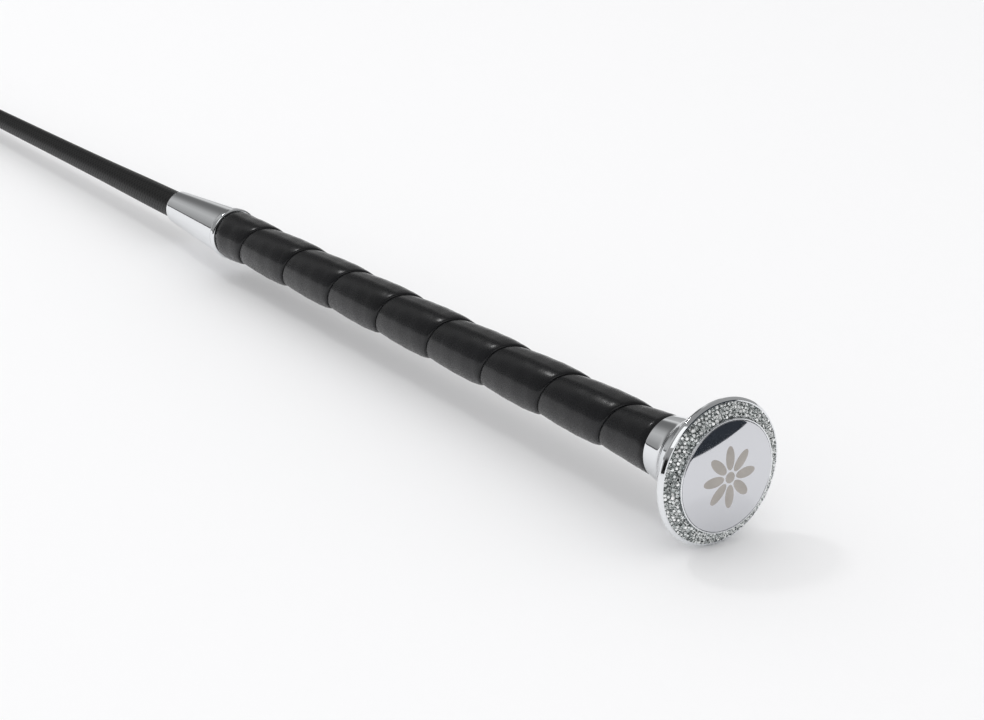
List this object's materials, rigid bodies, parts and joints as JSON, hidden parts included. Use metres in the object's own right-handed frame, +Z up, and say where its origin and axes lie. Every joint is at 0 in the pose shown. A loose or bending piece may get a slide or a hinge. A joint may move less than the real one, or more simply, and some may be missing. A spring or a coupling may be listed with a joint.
{
  "type": "riding crop",
  "caption": "Riding crop with a stone-set mushroom cap, padded leather-wrapped grip, tapered braided shaft and a folded leather keeper that bends.",
  "frame": {"origin": "crown of the mushroom cap's slightly domed end disc, on the crop's axis", "axes": "+X out of the cap's end disc along the crop's axis, so the shaft and keeper run along -X; +Z up, square to the keeper's flat; +Y across the keeper"},
  "size_m": [0.6759, 0.0378, 0.0378],
  "materials": {
    "chrome": "bright chromium plate over a turned and polished casting",
    "mirror_steel": "mirror-polished stainless disc",
    "satin_inlay": "matt warm-grey satin inlay",
    "crystal_glass": "clear faceted stones with foiled backs",
    "stone_resin": "dark grey two-part resin",
    "adhesive_foam": "double-sided foam pad",
    "screw_steel": "zinc-plated screw",
    "fibreglass": "pultruded glass fibre rod, ground to a taper",
    "lacquered_braid": "black braided thread cover under matt lacquer",
    "handle_nylon": "moulded nylon",
    "padding_foam": "thin foam underlay",
    "grip_leather": "soft black grained leather, semi-matt",
    "binding_thread": "waxed binding thread",
    "keeper_leather": "firm black bridle leather",
    "whipping_thread": "waxed black polyester thread",
    "stitch_thread": "waxed black stitching thread"
  },
  "bodies": {
    "crop": {"cap_shell": "chrome", "cap_screw": "screw_steel", "face_adhesive": "adhesive_foam", "face_emblem": "satin_inlay", "face_plate": "mirror_steel", "face_ring": "chrome", "crystal_bed": "stone_resin", "crystals": "crystal_glass", "core_rod": "fibreglass", "shaft_cover": "lacquered_braid", "handle_core": "handle_nylon", "grip_padding": "padding_foam", "grip_wrap": "grip_leather", "wrap_binding_cap": "binding_thread", "wrap_binding_ferrule": "binding_thread", "ferrule": "chrome", "ferrule_bush": "handle_nylon", "keeper_neck": "keeper_leather", "tip_whipping": "whipping_thread"},
    "keeper": {"keeper_tongue": "keeper_leather", "keeper_stitching": "stitch_thread"}
  },
  "joints": [
    {"name": "keeper_flex", "type": "hinge", "parent": "crop", "child": "keeper", "pos_m": [-0.6121, 0, 0], "axis": [0, 1, 0], "range_deg": [-75, 75], "stiffness_Nm_per_rad": 0.08}
  ]
}
